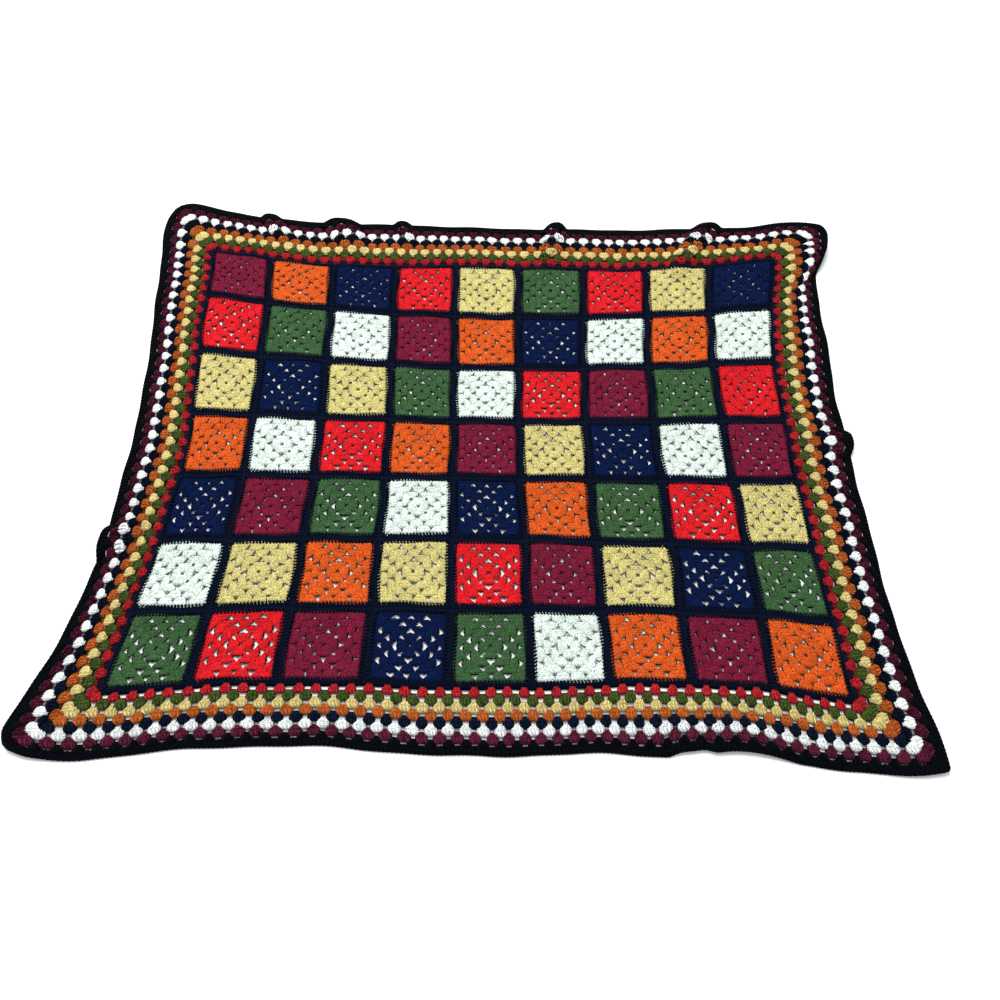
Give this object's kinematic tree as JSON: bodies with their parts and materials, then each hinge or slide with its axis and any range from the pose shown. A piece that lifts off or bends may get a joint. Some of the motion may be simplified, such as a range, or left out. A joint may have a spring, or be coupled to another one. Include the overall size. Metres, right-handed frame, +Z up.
{
  "type": "granny square blanket",
  "caption": "Crocheted granny square blanket lying flat: a patchwork panel of joined squares in seven colours, clustered border rounds and a solid dark edging.",
  "frame": {"origin": "middle of the square panel, on its underside, where the blanket rests", "axes": "+X along the longer side, +Y along the shorter side towards the far edge, +Z up"},
  "size_m": [1.427, 1.1513, 0.03],
  "materials": {
    "panel_yarn": "matt crocheted wool-type yarn, squares in seven colours joined in near-black navy",
    "red_yarn": "matt crocheted yarn",
    "green_yarn": "matt crocheted yarn",
    "gold_yarn": "matt crocheted yarn",
    "orange_yarn": "matt crocheted yarn",
    "navy_yarn": "matt crocheted yarn",
    "cream_yarn": "matt crocheted yarn",
    "burgundy_yarn": "matt crocheted yarn",
    "edge_yarn": "matt crocheted yarn, close stitches"
  },
  "bodies": {
    "root": {"square_panel": "panel_yarn", "border_red": "red_yarn", "border_green": "green_yarn", "border_gold": "gold_yarn", "border_orange": "orange_yarn", "border_navy": "navy_yarn", "border_cream": "cream_yarn", "border_burgundy": "burgundy_yarn", "edge_navy": "edge_yarn"}
  },
  "joints": []
}
